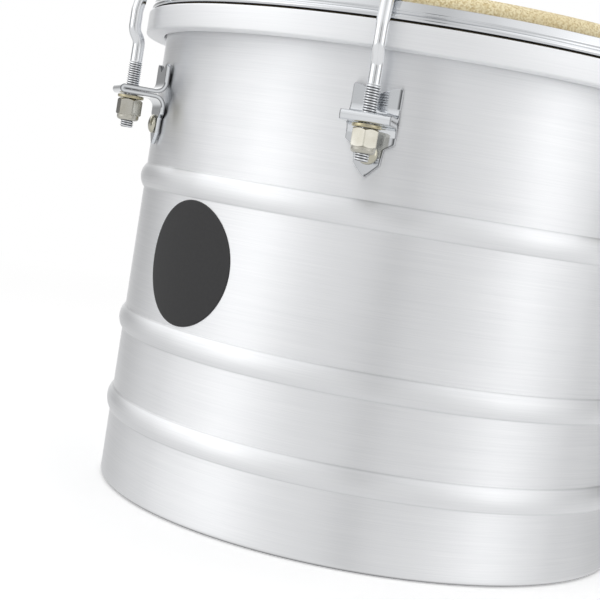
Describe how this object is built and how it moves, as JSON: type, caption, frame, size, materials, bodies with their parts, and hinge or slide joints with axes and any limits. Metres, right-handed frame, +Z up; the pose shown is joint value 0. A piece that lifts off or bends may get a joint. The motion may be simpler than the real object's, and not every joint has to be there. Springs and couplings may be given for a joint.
{
  "type": "cuica",
  "caption": "Friction drum with a beaded aluminium shell, a goatskin head under a chromed counterhoop with claw hooks and lock nuts, and a bamboo stick lashed inside.",
  "frame": {"origin": "centre of the base, on the drum's axis", "axes": "+Z up along the drum's axis towards the head; one tuning hook stands at -Y and the others every 60 degrees"},
  "size_m": [0.2692, 0.293, 0.2334],
  "materials": {
    "brushed_aluminium": "fine brush lines running round the shell",
    "satin_aluminium": "satin",
    "steel_wire": "drawn",
    "chrome": "polished",
    "bright_zinc": "bright plated, rolled thread",
    "yellow_zinc": "yellow passivated",
    "pale_gold_zinc": "pale passivated, satin",
    "nickel": "warm plated",
    "goatskin": "matt, speckled",
    "bamboo": "smooth, worn",
    "waxed_cord": "waxed, twisted"
  },
  "bodies": {
    "drum": {"shell": "brushed_aluminium", "head_ring": "satin_aluminium", "flesh_wire": "steel_wire", "head_skin": "goatskin", "counterhoop": "chrome", "claw_bracket_1": "chrome", "claw_bracket_2": "chrome", "claw_bracket_3": "chrome", "claw_bracket_4": "chrome", "claw_bracket_5": "chrome", "claw_bracket_6": "chrome", "rivet_1": "nickel", "rivet_2": "nickel", "rivet_3": "nickel", "rivet_4": "nickel", "rivet_5": "nickel", "rivet_6": "nickel", "washer_1": "yellow_zinc", "washer_2": "yellow_zinc", "washer_3": "yellow_zinc", "washer_4": "yellow_zinc", "washer_5": "yellow_zinc", "washer_6": "yellow_zinc"},
    "hook_1": {"claw_hook_1": "bright_zinc"},
    "hook_2": {"claw_hook_2": "bright_zinc"},
    "hook_3": {"claw_hook_3": "bright_zinc"},
    "hook_4": {"claw_hook_4": "bright_zinc"},
    "hook_5": {"claw_hook_5": "bright_zinc"},
    "hook_6": {"claw_hook_6": "bright_zinc"},
    "nut_1": {"lock_nut_1": "pale_gold_zinc"},
    "nut_2": {"lock_nut_2": "pale_gold_zinc"},
    "nut_3": {"lock_nut_3": "pale_gold_zinc"},
    "nut_4": {"lock_nut_4": "pale_gold_zinc"},
    "nut_5": {"lock_nut_5": "pale_gold_zinc"},
    "nut_6": {"lock_nut_6": "pale_gold_zinc"},
    "lashing": {"stick_lashing": "waxed_cord"},
    "stick": {"friction_stick": "bamboo"}
  },
  "joints": [
    {"name": "hook_slide_1", "type": "slide", "parent": "drum", "child": "hook_1", "axis": [0, 0, 1], "range_m": [0, 0.006]},
    {"name": "nut_turn_1", "type": "hinge", "parent": "drum", "child": "nut_1", "pos_m": [0, -0.1394, 0.17], "axis": [0, 0, -1], "range_deg": [0, 2170]},
    {"name": "hook_slide_2", "type": "slide", "parent": "drum", "child": "hook_2", "axis": [0, 0, 1], "range_m": [0, 0.006]},
    {"name": "nut_turn_2", "type": "hinge", "parent": "drum", "child": "nut_2", "pos_m": [0.12072, -0.0697, 0.17], "axis": [0, 0, -1], "range_deg": [0, 2170]},
    {"name": "hook_slide_3", "type": "slide", "parent": "drum", "child": "hook_3", "axis": [0, 0, 1], "range_m": [0, 0.006]},
    {"name": "nut_turn_3", "type": "hinge", "parent": "drum", "child": "nut_3", "pos_m": [0.12072, 0.0697, 0.17], "axis": [0, 0, -1], "range_deg": [0, 2170]},
    {"name": "hook_slide_4", "type": "slide", "parent": "drum", "child": "hook_4", "axis": [0, 0, 1], "range_m": [0, 0.006]},
    {"name": "nut_turn_4", "type": "hinge", "parent": "drum", "child": "nut_4", "pos_m": [0, 0.1394, 0.17], "axis": [0, 0, -1], "range_deg": [0, 2170]},
    {"name": "hook_slide_5", "type": "slide", "parent": "drum", "child": "hook_5", "axis": [0, 0, 1], "range_m": [0, 0.006]},
    {"name": "nut_turn_5", "type": "hinge", "parent": "drum", "child": "nut_5", "pos_m": [-0.12072, 0.0697, 0.17], "axis": [0, 0, -1], "range_deg": [0, 2170]},
    {"name": "hook_slide_6", "type": "slide", "parent": "drum", "child": "hook_6", "axis": [0, 0, 1], "range_m": [0, 0.006]},
    {"name": "nut_turn_6", "type": "hinge", "parent": "drum", "child": "nut_6", "pos_m": [-0.12072, -0.0697, 0.17], "axis": [0, 0, -1], "range_deg": [0, 2170]},
    {"name": "stick_rock_side", "type": "hinge", "parent": "drum", "child": "lashing", "pos_m": [0, 0, 0.2291], "axis": [0, 1, 0], "range_deg": [-5, 5]},
    {"name": "stick_rock_fore", "type": "hinge", "parent": "lashing", "child": "stick", "pos_m": [0, 0, 0.2291], "axis": [1, 0, 0], "range_deg": [-5, 5]}
  ],
  "couplings": [
    {"joint": "nut_turn_1", "follows": "hook_slide_1", "rad_per_m": 6283.2},
    {"joint": "nut_turn_2", "follows": "hook_slide_2", "rad_per_m": 6283.2},
    {"joint": "nut_turn_3", "follows": "hook_slide_3", "rad_per_m": 6283.2},
    {"joint": "nut_turn_4", "follows": "hook_slide_4", "rad_per_m": 6283.2},
    {"joint": "nut_turn_5", "follows": "hook_slide_5", "rad_per_m": 6283.2},
    {"joint": "nut_turn_6", "follows": "hook_slide_6", "rad_per_m": 6283.2}
  ]
}
